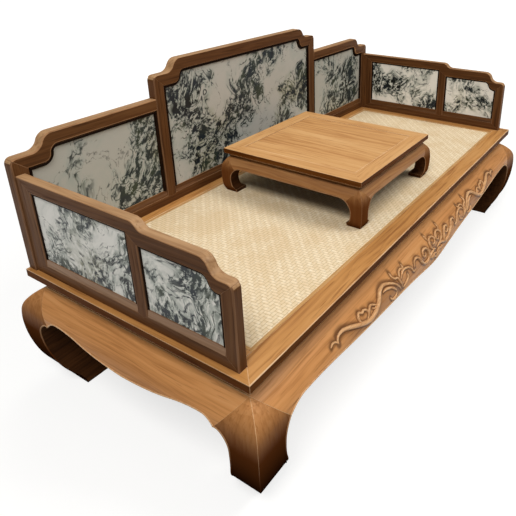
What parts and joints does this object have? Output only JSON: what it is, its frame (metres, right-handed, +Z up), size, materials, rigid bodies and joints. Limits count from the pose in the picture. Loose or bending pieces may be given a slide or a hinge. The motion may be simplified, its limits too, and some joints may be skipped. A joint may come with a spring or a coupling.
{
  "type": "luohan daybed with kang table",
  "caption": "Chinese luohan daybed with stepped stone-panelled railings, woven seat mat, swelling legs with hoof feet and a low kang table on the seat.",
  "frame": {"origin": "on the floor under the middle of the bed's bounding box", "axes": "+X along the bed to the sitter's left, +Y to the back screen, +Z up"},
  "size_m": [2.14, 0.952, 0.948],
  "materials": {
    "rosewood": "rubbed satin, honey to dark brown, visible figure",
    "softwood": "plain planed wood, hidden",
    "veined_stone": "honed pale marble with dark ink-like veining",
    "woven_mat": "fine woven cane, matt",
    "pale_strip": "thin split strip, satin"
  },
  "bodies": {
    "base": {"seat_front_rail": "rosewood", "seat_back_rail": "rosewood", "seat_left_rail": "rosewood", "seat_right_rail": "rosewood", "seat_board": "softwood", "seat_braces": "softwood", "seat_mat": "woven_mat", "mat_edging": "pale_strip", "seat_waist": "rosewood", "front_apron": "rosewood", "back_apron": "rosewood", "left_apron": "rosewood", "right_apron": "rosewood", "front_left_leg": "rosewood", "front_right_leg": "rosewood", "back_left_leg": "rosewood", "back_right_leg": "rosewood"},
    "back_screen": {"back_beading": "rosewood", "back_bottom_rail": "rosewood", "back_center_stone": "veined_stone", "back_center_top_rail": "rosewood", "back_left_inner_stile": "rosewood", "back_left_stile": "rosewood", "back_left_stone": "veined_stone", "back_left_top_rail": "rosewood", "back_right_inner_stile": "rosewood", "back_right_stile": "rosewood", "back_right_stone": "veined_stone", "back_right_top_rail": "rosewood", "arm_keys": "rosewood"},
    "left_arm": {"left_arm_beading": "rosewood", "left_arm_bottom_rail": "rosewood", "left_arm_front_stile": "rosewood", "left_arm_front_stone": "veined_stone", "left_arm_mid_stile": "rosewood", "left_arm_rear_stile": "rosewood", "left_arm_rear_stone": "veined_stone", "left_arm_top_rail": "rosewood"},
    "right_arm": {"right_arm_beading": "rosewood", "right_arm_bottom_rail": "rosewood", "right_arm_front_stile": "rosewood", "right_arm_front_stone": "veined_stone", "right_arm_mid_stile": "rosewood", "right_arm_rear_stile": "rosewood", "right_arm_rear_stone": "veined_stone", "right_arm_top_rail": "rosewood"},
    "kang_table": {"table_back_apron": "rosewood", "table_back_left_leg": "rosewood", "table_back_rail": "rosewood", "table_back_right_leg": "rosewood", "table_brace": "softwood", "table_front_apron": "rosewood", "table_front_left_leg": "rosewood", "table_front_rail": "rosewood", "table_front_right_leg": "rosewood", "table_left_apron": "rosewood", "table_left_rail": "rosewood", "table_panel": "rosewood", "table_right_apron": "rosewood", "table_right_rail": "rosewood"}
  },
  "joints": [
    {"name": "back_lift", "type": "slide", "parent": "base", "child": "back_screen", "axis": [0, 0, 1], "range_m": [0, 0.04]},
    {"name": "left_arm_lift", "type": "slide", "parent": "back_screen", "child": "left_arm", "axis": [0, 0, 1], "range_m": [0, 0.052]},
    {"name": "right_arm_lift", "type": "slide", "parent": "back_screen", "child": "right_arm", "axis": [0, 0, 1], "range_m": [0, 0.052]},
    {"name": "table_lift", "type": "slide", "parent": "base", "child": "kang_table", "axis": [0, 0, 1], "range_m": [0, 0.3]}
  ]
}
